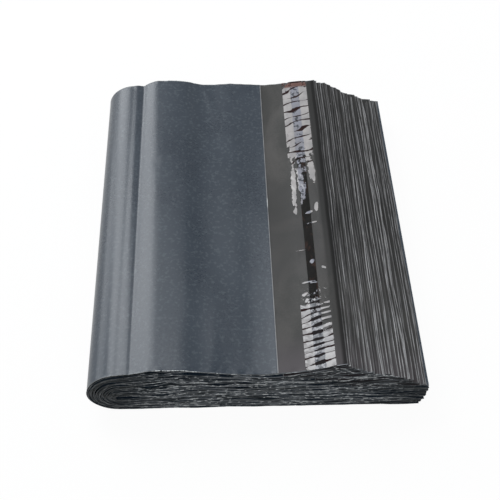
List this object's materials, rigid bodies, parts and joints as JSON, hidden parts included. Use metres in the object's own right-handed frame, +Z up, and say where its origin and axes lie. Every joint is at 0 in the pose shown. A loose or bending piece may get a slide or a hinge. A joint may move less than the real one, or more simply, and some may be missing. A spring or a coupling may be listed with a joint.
{
  "type": "folded bundle of poly mailer bags",
  "caption": "Stack of flat grey poly mailer bags with peel-and-seal flaps, folded once across its length, with fanned flap edges.",
  "frame": {"origin": "middle of the bundle's footprint, on the surface it lies on", "axes": "+Z up, through the stack; the fold is at -X and the mouths, flaps and free edges at +X; the bags' side seams are at -Y and +Y"},
  "size_m": [0.1914, 0.2512, 0.0371],
  "materials": {
    "film": "grey co-extruded polyethylene film, satin",
    "adhesive": "dark brown hot-melt adhesive line",
    "liner": "clear glossy release film, wrinkled"
  },
  "bodies": {
    "root": {"bag_01": "film", "bag_02": "film", "bag_03": "film", "bag_04": "film", "bag_05": "film", "bag_06": "film", "bag_07": "film", "bag_08": "film", "bag_09": "film", "bag_10": "film", "bag_11": "film", "bag_12": "film", "bag_13": "film", "bag_14": "film", "bag_15": "film", "bag_16": "film", "bag_17": "film", "bag_18": "film", "bag_19": "film", "bag_20": "film", "bag_21": "film", "bag_22": "film", "bag_23": "film", "bag_24": "film", "bag_25": "film", "bag_26": "film", "bag_27": "film", "bag_28": "film", "bag_29": "film", "bag_30": "film", "bag_31": "film", "bag_32": "film", "bag_33": "film", "bag_34": "film", "bag_35": "film", "bag_36": "film", "bag_37": "film", "bag_38": "film", "bag_39": "film", "bag_40": "film", "adhesive_strip": "adhesive", "release_liner": "liner"}
  },
  "joints": []
}
